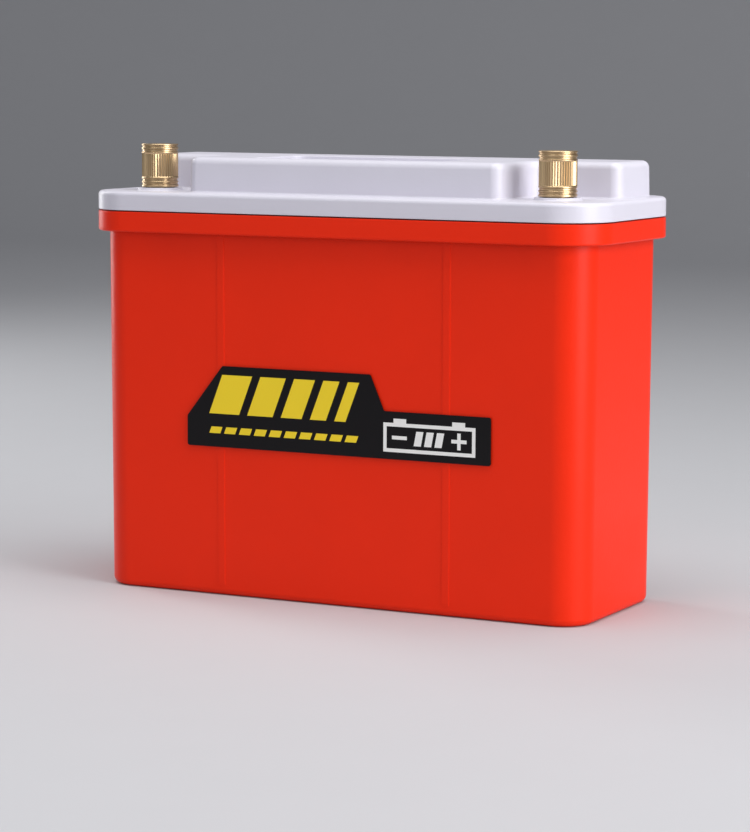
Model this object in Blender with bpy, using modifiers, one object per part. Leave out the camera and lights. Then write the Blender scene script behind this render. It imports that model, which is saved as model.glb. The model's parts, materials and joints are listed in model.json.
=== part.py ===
"""A twelve-volt lithium motorcycle battery, in the sealed case of a large motorcycle battery.

Origin at the middle of the base, +X along the case towards the negative post, +Z up, and the
posts on the -Y side of the lid. Run it with: blender --background --python part.py
"""

import math

import bmesh
import bpy
from mathutils import Vector

MM = 0.001

# Case and lid: outside sizes. The collar and the lid share one outline.
LID_LENGTH = 205 * MM
LID_DEPTH = 81 * MM
LID_CORNER = 18 * MM
CASE_HEIGHT = 139.9 * MM
COLLAR_HEIGHT = 7.4 * MM
COLLAR_OVERHANG = 4.7 * MM
COLLAR_SKIN = 2.0 * MM
COLLAR_ROOF = 2.6 * MM
BODY_CORNER = 12 * MM
BODY_DRAFT = 0.6 * MM
WALL = 2.6 * MM
FLOOR = 3.0 * MM
EDGE_ROUND = 1.2 * MM
BASE_ROUND = 2.4 * MM
RIB_X = 45.5 * MM
RIB_WIDTH = 2.0 * MM
RIB_HEIGHT = 1.0 * MM
WITNESS_WIDTH = 2.8 * MM
WITNESS_HEIGHT = 0.2 * MM

# Lid: a flat plate, a T-shaped housing on it, and a shelf with a boss under each post.
SEAM_GAP = 0.4 * MM
PLATE_HEIGHT = 6.9 * MM
HOUSING_HEIGHT = 12.8 * MM
HOUSING_CENTRE_HALF = 63 * MM
HOUSING_END_INSET = 7 * MM
HOUSING_FRONT_INSET = 10.5 * MM
HOUSING_BACK_INSET = 10 * MM
HOUSING_SHELF_Y = 0.0 * MM
HOUSING_CORNER = 4 * MM
HOUSING_ROUND = 2.6 * MM
HOUSING_DRAFT = 0.5 * MM
LID_WALL = 2.4 * MM
RECESS_HALF_X = 38 * MM
RECESS_DEPTH_Y = 35 * MM
RECESS_FRONT_RIM = 3.6 * MM
RECESS_DEPTH = 1.5 * MM
RECESS_CORNER = 4 * MM

# Posts and the stack that clamps each of them to its shelf.
POST_X = 80.4 * MM
POST_Y = -20 * MM
POST_RADIUS = 6.8 * MM
POST_HEIGHT = 15.8 * MM
POST_CHAMFER = 0.8 * MM
POST_GROOVE_DEPTH = 0.45 * MM
POST_GROOVE_WIDTH = 0.8 * MM
POST_WAIST = 0.25 * MM
BOSS_RADIUS = 8.3 * MM
BOSS_HEIGHT = 1.0 * MM
SEAL_DEPTH = 0.9 * MM
SEAL_WIDTH = 1.5 * MM
STUD_RADIUS = 4.0 * MM
STUD_LENGTH = 15.0 * MM
WASHER_RADIUS = 8.0 * MM
WASHER_THICKNESS = 1.4 * MM
LUG_THICKNESS = 1.5 * MM
LUG_RADIUS = 7.0 * MM
LUG_NECK = 3.0 * MM
BARREL_LENGTH = 9.0 * MM
BARREL_WALL = 1.0 * MM
NUT_FLATS = 13.0 * MM
NUT_HEIGHT = 6.0 * MM

# Gasket in a groove in the top of the collar.
GASKET_WIDTH = 2.4 * MM
GASKET_HEIGHT = 1.3 * MM

# Cells: four prismatic cans, two along the case and two across it.
CELL_LENGTH = 70 * MM
CELL_DEPTH = 27 * MM
CELL_HEIGHT = 126.2 * MM
CELL_CORNER = 3.0 * MM
TERMINAL_OFFSET = 22 * MM
TERMINAL_RADIUS = 6.0 * MM
TERMINAL_HEIGHT = 2.5 * MM
DIVIDER = 1.0 * MM
PAD_THICKNESS = 1.7 * MM
BAND_THICKNESS = 0.5 * MM
BAND_WIDTH = 15 * MM
BAND_HEIGHTS = (30 * MM, 92 * MM)
FOAM_FRONT_HEIGHT = 118 * MM
FOAM_END_HEIGHT = 116 * MM

# Busbars and the screws that hold them.
BUSBAR_WIDTH = 14 * MM
BUSBAR_THICKNESS = 1.5 * MM
SCREW_SHANK = 2.4 * MM
SCREW_HEAD = 4.4 * MM
SCREW_HEAD_HEIGHT = 3.0 * MM
SCREW_DEPTH = 1.8 * MM
SCREW_SOCKET = 2.0 * MM
SCREW_SOCKET_DEPTH = 1.6 * MM

# Protection board on its tray, in the room inside the housing.
TRAY_LENGTH = 98 * MM
TRAY_DEPTH = 46 * MM
TRAY_THICKNESS = 1.0 * MM
PILLAR_RADIUS = 2.5 * MM
PILLAR_HEIGHT = 4.6 * MM
PILLAR_INSET = 5 * MM
BOARD_THICKNESS = 1.6 * MM
BOARD_INSET = 1.0 * MM
SINK_LENGTH = 62 * MM
SINK_DEPTH = 20 * MM
SINK_HEIGHT = 4.5 * MM
SINK_SLOT = 2.0 * MM
PLUG_LENGTH = 16 * MM
PLUG_DEPTH = 6 * MM
PLUG_HEIGHT = 5 * MM
STRAP_THICKNESS = 1.0 * MM
STRAP_WIDTH = 12 * MM
LEAD_RADIUS = 2.9 * MM
WIRE_RADIUS = 0.8 * MM

# Sticker on the front.
LABEL_THICKNESS = 0.2 * MM
LABEL_HALF = 61.2 * MM
LABEL_FOOT = 55.0 * MM
LABEL_STEP = 72.0 * MM
LABEL_HEAD = 84.7 * MM
LABEL_CORNER = 0.8 * MM
STICKER_GAP = 0.05 * MM

GAP = 0.3 * MM
ARC_STEPS = 5
ROUND_SIDES = 28
SMALL_SIDES = 14

# Heights worked out from the sizes above.
SEAM = CASE_HEIGHT + SEAM_GAP
PLATE_TOP = SEAM + PLATE_HEIGHT
HOUSING_TOP = PLATE_TOP + HOUSING_HEIGHT
SHELF_CEILING = PLATE_TOP - LID_WALL
BOSS_TOP = PLATE_TOP + BOSS_HEIGHT
BODY_HALF_X = LID_LENGTH / 2 - COLLAR_OVERHANG
BODY_HALF_Y = LID_DEPTH / 2 - COLLAR_OVERHANG
INSIDE_X = BODY_HALF_X - WALL
INSIDE_Y = BODY_HALF_Y - WALL
CELL_X = (CELL_LENGTH + DIVIDER) / 2 + GAP
CELL_Y = (CELL_DEPTH + DIVIDER) / 2 + GAP
PACK_HALF_X = CELL_X + CELL_LENGTH / 2
PACK_HALF_Y = CELL_Y + CELL_DEPTH / 2
CELL_BASE = FLOOR + PAD_THICKNESS + 2 * GAP
CELL_TOP = CELL_BASE + CELL_HEIGHT
TERMINAL_TOP = CELL_TOP + GAP + TERMINAL_HEIGHT
BUSBAR_BASE = TERMINAL_TOP + GAP
BUSBAR_TOP = BUSBAR_BASE + BUSBAR_THICKNESS
HEAD_TOP = BUSBAR_TOP + GAP + SCREW_HEAD_HEIGHT
TRAY_BASE = HEAD_TOP + GAP
TRAY_TOP = TRAY_BASE + TRAY_THICKNESS
BOARD_BASE = TRAY_TOP + PILLAR_HEIGHT + GAP
BOARD_TOP = BOARD_BASE + BOARD_THICKNESS
PACK_LUG_AXIS = BUSBAR_BASE + LEAD_RADIUS + BARREL_WALL


def collection(name):
    made = bpy.data.collections.new(name)
    bpy.context.scene.collection.children.link(made)
    return made


def material(name, colour, roughness, metallic=0.0):
    made = bpy.data.materials.new(name)
    made.use_nodes = True
    shader = made.node_tree.nodes["Principled BSDF"]
    shader.inputs["Base Color"].default_value = (*colour, 1)
    shader.inputs["Roughness"].default_value = roughness
    shader.inputs["Metallic"].default_value = metallic
    made.diffuse_color = (*colour, 1)
    return made


for old in list(bpy.data.objects):
    bpy.data.objects.remove(old)

PARTS = collection("motorcycle_battery")
CUTTERS = collection("cutters")
RED = material("red_plastic", (0.78, 0.03, 0.01), 0.4)
WHITE = material("white_plastic", (0.75, 0.74, 0.8), 0.4)
BLACK = material("black_rubber", (0.02, 0.02, 0.02), 0.7)
BRASS = material("brass", (0.75, 0.52, 0.22), 0.25, 1.0)
STEEL = material("zinc_plated_steel", (0.6, 0.6, 0.62), 0.3, 1.0)
COPPER = material("tinned_copper", (0.7, 0.55, 0.45), 0.3, 1.0)
NICKEL = material("nickel_plated_copper", (0.7, 0.68, 0.62), 0.3, 1.0)
WRAP = material("cell_wrap", (0.03, 0.12, 0.45), 0.35)
ALUMINIUM = material("aluminium", (0.8, 0.8, 0.82), 0.35, 1.0)
FOAM = material("black_foam", (0.04, 0.04, 0.045), 0.95)
TAPE = material("glass_tape", (0.75, 0.72, 0.6), 0.5)
LAMINATE = material("glass_laminate", (0.55, 0.6, 0.35), 0.5)
BOARD_GREEN = material("circuit_board", (0.02, 0.2, 0.08), 0.4)
NYLON = material("white_nylon", (0.8, 0.78, 0.7), 0.5)
RED_WIRE = material("red_silicone", (0.6, 0.02, 0.02), 0.5)
BLACK_WIRE = material("black_silicone", (0.02, 0.02, 0.02), 0.5)
LABEL = material("black_label", (0.01, 0.008, 0.01), 0.4)


def rounded(corners):
    """Points of an anticlockwise outline, given as (x, y, radius), with an arc at each corner."""
    points = []
    for n, (x, y, radius) in enumerate(corners):
        here = Vector((x, y))
        before = (Vector(corners[n - 1][:2]) - here).normalized()
        after = (Vector(corners[(n + 1) % len(corners)][:2]) - here).normalized()
        if radius <= 0:
            points.append(here)
            continue
        half = before.angle(after) / 2
        centre = here + (before + after).normalized() * radius / math.sin(half)
        start = here + before * radius / math.tan(half) - centre
        sweep = start.angle_signed(here + after * radius / math.tan(half) - centre)
        for step in range(ARC_STEPS + 1):
            turn = -sweep * step / ARC_STEPS
            c, s = math.cos(turn), math.sin(turn)
            points.append(centre + Vector((start.x * c - start.y * s, start.x * s + start.y * c)))
    return points


def rectangle(half_x, half_y, radius, at=(0, 0)):
    x, y = at
    sides = ((-1, -1), (1, -1), (1, 1), (-1, 1))
    return rounded([(x + a * half_x, y + b * half_y, radius) for a, b in sides])


def add(name, mesh, paint, home=None):
    made = bpy.data.objects.new(name, mesh)
    (home or PARTS).objects.link(made)
    made.data.materials.clear()
    made.data.materials.append(paint)
    if home is CUTTERS:
        made.hide_render = True
        made.display_type = "WIRE"
    return made


def smooth(made, angle=35):
    made.data.shade_smooth()
    made.data.set_sharp_from_angle(angle=math.radians(angle))
    return made


def prism(name, points, low, high, paint, home=None, top=0, base=0, draft=0):
    """A flat outline made solid from low to high, its rims rounded, its base drawn in by draft."""
    curve = bpy.data.curves.new(name, "CURVE")
    curve.dimensions = "2D"
    curve.fill_mode = "BOTH"
    curve.extrude = (high - low) / 2
    spline = curve.splines.new("POLY")
    spline.points.add(len(points) - 1)
    for point, (x, y) in zip(spline.points, points):
        point.co = (x, y, 0, 1)
    spline.use_cyclic_u = True
    guide = bpy.data.objects.new(name + "_outline", curve)
    bpy.context.scene.collection.objects.link(guide)
    graph = bpy.context.evaluated_depsgraph_get()
    mesh = bpy.data.meshes.new_from_object(guide.evaluated_get(graph))
    bpy.data.objects.remove(guide)
    work = bmesh.new()
    work.from_mesh(mesh)
    bmesh.ops.remove_doubles(work, verts=work.verts, dist=1e-6)
    bmesh.ops.dissolve_limit(work, angle_limit=0.01, verts=work.verts, edges=work.edges)
    bmesh.ops.recalc_face_normals(work, faces=work.faces)
    middle = (high + low) / 2
    reach_x = max(abs(v.co.x) for v in work.verts)
    reach_y = max(abs(v.co.y) for v in work.verts)
    for v in work.verts:
        if v.co.z < 0:
            v.co.x *= 1 - draft / reach_x
            v.co.y *= 1 - draft / reach_y
        v.co.z += middle
    for width, level in ((top, high), (base, low)):
        if width > 0:
            rim = [e for e in work.edges if all(abs(v.co.z - level) < 1e-6 for v in e.verts)]
            bmesh.ops.bevel(work, geom=rim, offset=width, segments=2, profile=0.5, affect="EDGES")
    work.to_mesh(mesh)
    work.free()
    return smooth(add(name, mesh, paint, home))


def block(name, size, centre, paint, home=None, edge=0):
    """A box at its size and place, its upright edges rounded by edge."""
    x, y, z = centre
    return prism(
        name,
        rectangle(size[0] / 2, size[1] / 2, edge, (x, y)),
        z - size[2] / 2,
        z + size[2] / 2,
        paint,
        home,
    )


def turned(name, profile, centre, paint, home=None, sides=ROUND_SIDES):
    """A profile of (radius, height) points, from the top down its outer side, turned round +Z."""
    work = bmesh.new()
    closed = profile[0] == profile[-1]
    places = profile[:-1] if closed else profile
    points = [work.verts.new((radius, 0, height)) for radius, height in places]
    for a, b in zip(points, points[1:] + points[:1] if closed else points[1:]):
        work.edges.new((a, b))
    mesh = bpy.data.meshes.new(name)
    work.to_mesh(mesh)
    work.free()
    made = add(name, mesh, paint, home)
    made.location = centre
    screw = made.modifiers.new("turn", "SCREW")
    screw.steps = sides
    screw.render_steps = sides
    screw.use_merge_vertices = True
    screw.merge_threshold = 1e-6
    screw.use_smooth_shade = False
    return made


def ring(name, outer, inner, low, high, centre, paint, home=None, sides=ROUND_SIDES):
    profile = [(inner, high), (outer, high), (outer, low), (inner, low), (inner, high)]
    return turned(name, profile, centre, paint, home, sides)


def rod(name, radius, low, high, centre, home=CUTTERS, paint=BLACK, sides=ROUND_SIDES):
    work = bmesh.new()
    bmesh.ops.create_cone(
        work, cap_ends=True, segments=sides, radius1=radius, radius2=radius, depth=high - low
    )
    x, y = centre[0], centre[1]
    bmesh.ops.translate(work, verts=work.verts, vec=(x, y, (high + low) / 2))
    mesh = bpy.data.meshes.new(name)
    work.to_mesh(mesh)
    work.free()
    return add(name, mesh, paint, home)


def tube(name, points, radius, paint, home=None):
    """A round lead along a smooth curve through the points of its route."""
    curve = bpy.data.curves.new(name, "CURVE")
    curve.dimensions = "3D"
    curve.bevel_depth = radius
    curve.bevel_resolution = 2
    curve.use_fill_caps = True
    line = spline_through(points)
    spline = curve.splines.new("POLY")
    spline.points.add(len(line) - 1)
    for point, place in zip(spline.points, line):
        point.co = (*place, 1)
    made = bpy.data.objects.new(name, curve)
    (home or PARTS).objects.link(made)
    curve.materials.append(paint)
    return made


def spline_through(points, steps=6):
    """Points of a Catmull-Rom curve through a few points of a route."""
    route = [Vector(p) for p in points]
    route = [2 * route[0] - route[1], *route, 2 * route[-1] - route[-2]]
    line = []
    for a, b, c, d in zip(route, route[1:], route[2:], route[3:]):
        for step in range(steps):
            t = step / steps
            line.append(
                0.5 * (2 * b + (c - a) * t + (2 * a - 5 * b + 4 * c - d) * t**2 + (3 * b - a - 3 * c + d) * t**3)
            )
    return [*line, route[-2]]


def boolean(made, other, operation):
    modifier = made.modifiers.new(operation.lower() + "_" + other.name, "BOOLEAN")
    modifier.operation = operation
    modifier.solver = "EXACT"
    modifier.object = other


def cut(made, *others):
    for other in others:
        boolean(made, other, "DIFFERENCE")


def join(made, *others):
    for other in others:
        boolean(made, other, "UNION")


def case():
    """Red moulded case: a drafted box with a hollow collar round its mouth, open at the top."""
    body = prism(
        "case", rectangle(BODY_HALF_X, BODY_HALF_Y, BODY_CORNER), 0, CASE_HEIGHT - WALL, RED,
        base=BASE_ROUND, draft=BODY_DRAFT,
    )
    collar_low = CASE_HEIGHT - COLLAR_HEIGHT
    outline = rectangle(LID_LENGTH / 2, LID_DEPTH / 2, LID_CORNER)
    collar = prism("collar", outline, collar_low, CASE_HEIGHT, RED, CUTTERS, base=EDGE_ROUND / 2)
    room = prism(
        "collar_room",
        rectangle(LID_LENGTH / 2 - COLLAR_SKIN, LID_DEPTH / 2 - COLLAR_SKIN, LID_CORNER - COLLAR_SKIN),
        collar_low - WALL, CASE_HEIGHT - COLLAR_ROOF, RED, CUTTERS,
    )
    cut(collar, room)
    witnesses = [
        prism(
            f"witness_{n}",
            rectangle(WITNESS_WIDTH / 2, BODY_HALF_Y + WITNESS_HEIGHT, 0, (n * RIB_X, 0)),
            BASE_ROUND, collar_low + COLLAR_HEIGHT / 2, RED, CUTTERS, draft=0,
        )
        for n in (-1, 1)
    ]
    for witness in witnesses:
        lean(witness, BODY_DRAFT)
    mouth = prism(
        "case_room", rectangle(INSIDE_X, INSIDE_Y, BODY_CORNER - WALL), FLOOR, CASE_HEIGHT + WALL,
        RED, CUTTERS, base=1.5 * MM, draft=BODY_DRAFT,
    )
    ribs = [
        prism(
            f"rib_{n}_{side}",
            rectangle(RIB_WIDTH / 2, (RIB_HEIGHT + WALL / 2) / 2, 0,
                      (n * RIB_X, side * (INSIDE_Y + WALL / 2 - (RIB_HEIGHT + WALL / 2) / 2))),
            FLOOR / 2, CASE_HEIGHT - COLLAR_HEIGHT - 10 * MM, RED, CUTTERS,
        )
        for n in (-1, 1)
        for side in (-1, 1)
    ]
    groove_outer = rectangle(*groove_halves(GASKET_WIDTH + GAP), LID_CORNER - COLLAR_SKIN)
    groove = prism("groove", groove_outer, CASE_HEIGHT - GASKET_HEIGHT, CASE_HEIGHT + WALL, RED, CUTTERS)
    core = prism(
        "groove_core", rectangle(*groove_halves(-GAP), LID_CORNER - COLLAR_SKIN - GASKET_WIDTH),
        CASE_HEIGHT - 2 * GASKET_HEIGHT, CASE_HEIGHT + 2 * WALL, RED, CUTTERS,
    )
    cut(groove, core)
    join(body, collar, *witnesses)
    cut(body, mouth)
    join(body, *ribs)
    cut(body, groove)


def lean(made, draft):
    """Draws a strip's foot in across the case, so that it follows the drafted wall."""
    reach = max(abs(v.co.y) for v in made.data.vertices)
    low = min(v.co.z for v in made.data.vertices)
    for v in made.data.vertices:
        if v.co.z < low + 1e-6:
            v.co.y *= 1 - draft / reach


def groove_halves(extra):
    """Half sizes of an outline that lies extra outside the gasket's inner edge."""
    inner = COLLAR_OVERHANG / 2 + WALL + GASKET_WIDTH / 2
    return LID_LENGTH / 2 - inner + extra, LID_DEPTH / 2 - inner + extra


def gasket():
    """Rubber ring between the collar and the lid."""
    low, high = CASE_HEIGHT - GASKET_HEIGHT + GAP / 2, SEAM - GAP
    corner = LID_CORNER - COLLAR_SKIN - GAP
    made = prism("lid_gasket", rectangle(*groove_halves(GASKET_WIDTH - GAP / 2), corner), low, high, BLACK)
    hole = prism(
        "gasket_room", rectangle(*groove_halves(GAP / 2), corner - GASKET_WIDTH + GAP),
        low - GAP, high + GAP, BLACK, CUTTERS,
    )
    cut(made, hole)


def housing_outline(inset):
    """The T of the raised housing, drawn in by inset: wide at the back, narrow at the front."""
    end = LID_LENGTH / 2 - HOUSING_END_INSET - inset
    front = -LID_DEPTH / 2 + HOUSING_FRONT_INSET + inset
    back = LID_DEPTH / 2 - HOUSING_BACK_INSET - inset
    centre = HOUSING_CENTRE_HALF - inset
    shelf = HOUSING_SHELF_Y + inset
    outer = max(HOUSING_CORNER - inset, MM)
    inner = HOUSING_CORNER / 2 + inset / 2
    return rounded([
        (-centre, front, outer), (centre, front, outer), (centre, shelf, inner), (end, shelf, outer),
        (end, back, outer), (-end, back, outer), (-end, shelf, outer), (-centre, shelf, inner),
    ])


def lid():
    """White moulded lid: a hollow plate with the housing on it, a boss and a hole for each post."""
    outline = rectangle(LID_LENGTH / 2, LID_DEPTH / 2, LID_CORNER)
    made = prism("lid", outline, SEAM, PLATE_TOP, WHITE, top=EDGE_ROUND)
    housing = prism(
        "housing", housing_outline(-HOUSING_DRAFT), PLATE_TOP - LID_WALL / 2, HOUSING_TOP, WHITE, CUTTERS,
        top=HOUSING_ROUND,
    )
    bosses = [
        rod(f"boss_{n}", BOSS_RADIUS, PLATE_TOP - LID_WALL / 2, BOSS_TOP, (n * POST_X, POST_Y, 0),
            paint=WHITE)
        for n in (-1, 1)
    ]
    under = prism(
        "plate_room",
        rectangle(INSIDE_X, INSIDE_Y, BODY_CORNER - WALL),
        SEAM - WALL, SHELF_CEILING, WHITE, CUTTERS,
    )
    room = prism(
        "housing_room", housing_outline(LID_WALL), SHELF_CEILING - LID_WALL / 2, HOUSING_TOP - LID_WALL,
        WHITE, CUTTERS, top=MM,
    )
    recess = prism(
        "recess", recess_outline(), HOUSING_TOP - RECESS_DEPTH, HOUSING_TOP + LID_WALL, WHITE, CUTTERS,
    )
    join(made, housing, *bosses)
    cut(made, under, room, recess)
    for n in (-1, 1):
        place = (n * POST_X, POST_Y, 0)
        hole = rod(f"stud_hole_{n}", STUD_RADIUS + GAP, SEAM, BOSS_TOP + WALL, place)
        seat = rod(f"seal_seat_{n}", STUD_RADIUS + GAP + SEAL_WIDTH, BOSS_TOP - SEAL_DEPTH,
            BOSS_TOP + WALL, place)
        cut(made, hole, seat)


def recess_outline():
    """Shallow recess near the front edge of the housing's top."""
    front = -LID_DEPTH / 2 + HOUSING_FRONT_INSET + RECESS_FRONT_RIM
    return rectangle(RECESS_HALF_X, RECESS_DEPTH_Y / 2, RECESS_CORNER, (0, front + RECESS_DEPTH_Y / 2))


def post(name, side):
    """Brass post: two rings at each end, a waist between them, and a stud below through the lid."""
    top = BOSS_TOP + GAP + POST_HEIGHT
    r, g, w = POST_RADIUS, POST_GROOVE_DEPTH, POST_GROOVE_WIDTH
    profile = [(0, top), (r - POST_CHAMFER, top), (r, top - POST_CHAMFER)]
    height = top - POST_CHAMFER
    for _ in range(2):
        profile += groove(r, g, w, height - w)
        height -= 2 * w
    low = BOSS_TOP + GAP
    profile += [(r, height - w), (r - POST_WAIST, height - 1.3 * w)]
    profile += [(r - POST_WAIST, low + 5.3 * w), (r, low + 5 * w)]
    for n in (2, 1):
        profile += groove(r, g, w, low + 2 * w * n)
    profile += [(r, low), (STUD_RADIUS, low)]
    end = low - STUD_LENGTH
    profile += [(STUD_RADIUS, end + MM), (STUD_RADIUS - MM, end), (0, end)]
    turned(name, profile, (side * POST_X, POST_Y, 0), BRASS)


def groove(radius, depth, width, top):
    """A V-sided groove that starts at height top, as profile points."""
    return [
        (radius, top), (radius - depth, top - width * 0.25),
        (radius - depth, top - width * 0.75), (radius, top - width),
    ]


def lug(name, place, heading, hole, low, axis):
    """Flat ring lug with its barrel at height axis, heading away from the hole."""
    x, y = place
    tip = LUG_RADIUS + LUG_NECK
    made = ring(name, LUG_RADIUS, hole, low, low + LUG_THICKNESS, (x, y, 0), COPPER, sides=SMALL_SIDES)
    dx, dy = heading
    half = LEAD_RADIUS
    middle = (hole + MM + tip) / 2
    reach = (tip - hole - MM) / 2
    neck = block(
        name + "_neck",
        (2 * (abs(dx) * reach + abs(dy) * half), 2 * (abs(dy) * reach + abs(dx) * half),
            LUG_THICKNESS * 0.96),
        (x + dx * middle, y + dy * middle, low + LUG_THICKNESS / 2), COPPER, CUTTERS,
    )
    barrel = barrel_along(name + "_barrel", place, heading, tip - MM, axis)
    join(made, neck, barrel)


def barrel_along(name, place, heading, start, height):
    """A crimp barrel, open at its far end for the lead."""
    outer, inner = LEAD_RADIUS + BARREL_WALL, LEAD_RADIUS + GAP
    shut = BARREL_LENGTH / 3
    profile = [
        (0, shut), (inner, shut), (inner, BARREL_LENGTH), (outer, BARREL_LENGTH), (outer, 0), (0, 0),
    ]
    dx, dy = heading
    made = turned(name, profile, (place[0] + dx * start, place[1] + dy * start, height), COPPER,
        CUTTERS, SMALL_SIDES)
    made.rotation_mode = "QUATERNION"
    made.rotation_quaternion = Vector((dx, dy, 0)).to_track_quat("Z", "Y")
    return made


def post_stack(label, side):
    """Seal, washer, lug and nut on a post's stud."""
    place = (side * POST_X, POST_Y, 0)
    hole = STUD_RADIUS + GAP
    ring(f"{label}_post_seal", hole + SEAL_WIDTH - GAP, hole, BOSS_TOP - SEAL_DEPTH + GAP, BOSS_TOP,
        place, BLACK)
    high = SHELF_CEILING - GAP
    ring(f"{label}_post_washer", WASHER_RADIUS, hole, high - WASHER_THICKNESS, high, place, STEEL,
        sides=SMALL_SIDES)
    high -= WASHER_THICKNESS + GAP + LUG_THICKNESS
    axis = high + LUG_THICKNESS - LEAD_RADIUS - BARREL_WALL
    lug(f"{label}_post_lug", place[:2], (0, 1), hole, high, axis)
    high -= GAP
    low = high - NUT_HEIGHT
    nut = prism(f"{label}_post_nut", hexagon(NUT_FLATS, place), low, high, STEEL, top=0.5 * MM,
        base=0.5 * MM)
    cut(nut, rod(f"{label}_nut_hole", hole, low - WALL, high + WALL, place, sides=SMALL_SIDES))
    return axis


def hexagon(flats, place):
    radius = flats / math.sqrt(3)
    turns = [math.radians(60 * n) for n in range(6)]
    return [Vector((place[0] + radius * math.cos(t), place[1] + radius * math.sin(t))) for t in turns]


CELLS = (("front_left", -1, -1), ("front_right", 1, -1), ("rear_right", 1, 1), ("rear_left", -1, 1))


def cells():
    """Four wrapped cans, each with two threaded terminals."""
    for label, a, b in CELLS:
        x, y = a * CELL_X, b * CELL_Y
        prism(
            f"cell_{label}", rectangle(CELL_LENGTH / 2, CELL_DEPTH / 2, CELL_CORNER, (x, y)),
            CELL_BASE, CELL_TOP, WRAP, top=MM, base=MM,
        )
        for end, offset in (("outer", a * TERMINAL_OFFSET), ("inner", -a * TERMINAL_OFFSET)):
            low, high = CELL_TOP + GAP, TERMINAL_TOP
            hole = SCREW_SHANK + GAP
            floor = high - SCREW_DEPTH - GAP
            profile = [(0, floor), (hole, floor), (hole, high), (TERMINAL_RADIUS, high)]
            profile += [(TERMINAL_RADIUS, low), (0, low)]
            turned(f"cell_{label}_{end}_terminal", profile, (x + offset, y, 0), ALUMINIUM,
                sides=SMALL_SIDES)
            screw(f"screw_{label}_{end}", (x + offset, y, 0))


def screw(name, place):
    """Socket-head screw through a busbar into a terminal."""
    top, seat = HEAD_TOP, BUSBAR_TOP + GAP
    floor = top - SCREW_SOCKET_DEPTH
    profile = [
        (0, floor), (SCREW_SOCKET, floor), (SCREW_SOCKET, top), (SCREW_HEAD, top), (SCREW_HEAD, seat),
        (SCREW_SHANK, seat), (SCREW_SHANK, TERMINAL_TOP - SCREW_DEPTH), (0, TERMINAL_TOP - SCREW_DEPTH),
    ]
    turned(name, profile, place, STEEL, sides=SMALL_SIDES)


def busbar(name, a, b):
    """Plated strip between two terminals, with a hole for each screw."""
    half = BUSBAR_WIDTH / 2
    low_x, high_x = min(a[0], b[0]) - half, max(a[0], b[0]) + half
    low_y, high_y = min(a[1], b[1]) - half, max(a[1], b[1]) + half
    outline = rectangle((high_x - low_x) / 2, (high_y - low_y) / 2, half / 2,
        ((low_x + high_x) / 2, (low_y + high_y) / 2))
    made = prism(name, outline, BUSBAR_BASE, BUSBAR_TOP, NICKEL)
    screw_holes(made, a, b)
    return made


def screw_holes(made, *places):
    for n, place in enumerate(places):
        hole = rod(f"{made.name}_hole_{n}", SCREW_SHANK + GAP, BUSBAR_BASE - WALL, BUSBAR_TOP + WALL,
                   (*place, 0), sides=SMALL_SIDES)
        cut(made, hole)


def connections():
    """Cells in series: front left to front right, round the right end, then back along the rear."""
    inner, outer = CELL_X - TERMINAL_OFFSET, CELL_X + TERMINAL_OFFSET
    busbar("busbar_front", (-inner, -CELL_Y), (inner, -CELL_Y))
    busbar("busbar_right", (outer, -CELL_Y), (outer, CELL_Y))
    busbar("busbar_rear", (-inner, CELL_Y), (inner, CELL_Y))
    lug("positive_pack_lug", (-outer, CELL_Y), (-1, 0), SCREW_SHANK + GAP, BUSBAR_BASE, PACK_LUG_AXIS)
    strap = busbar("negative_strap", (-outer, -CELL_Y), (-outer, -CELL_Y))
    edge = -TRAY_LENGTH / 2 - GAP
    rise = block(
        "strap_rise", (STRAP_THICKNESS * 1.5, STRAP_WIDTH, BOARD_TOP + GAP + STRAP_THICKNESS - BUSBAR_BASE),
        (edge - STRAP_THICKNESS * 0.75 - GAP, -CELL_Y,
            (BOARD_TOP + GAP + STRAP_THICKNESS + BUSBAR_BASE) / 2),
        NICKEL, CUTTERS,
    )
    foot_end = edge - GAP - STRAP_THICKNESS * 0.4
    foot = block(
        "strap_foot", (foot_end + outer - SCREW_HEAD, STRAP_WIDTH, BUSBAR_THICKNESS * 0.9),
        ((foot_end - outer + SCREW_HEAD) / 2, -CELL_Y, (BUSBAR_BASE + BUSBAR_TOP) / 2), NICKEL, CUTTERS,
    )
    head = block(
        "strap_head", (8 * MM, STRAP_WIDTH, STRAP_THICKNESS),
        (edge + 3 * MM, -CELL_Y, BOARD_TOP + GAP + STRAP_THICKNESS / 2), NICKEL, CUTTERS,
    )
    join(strap, foot, rise, head)


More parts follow.
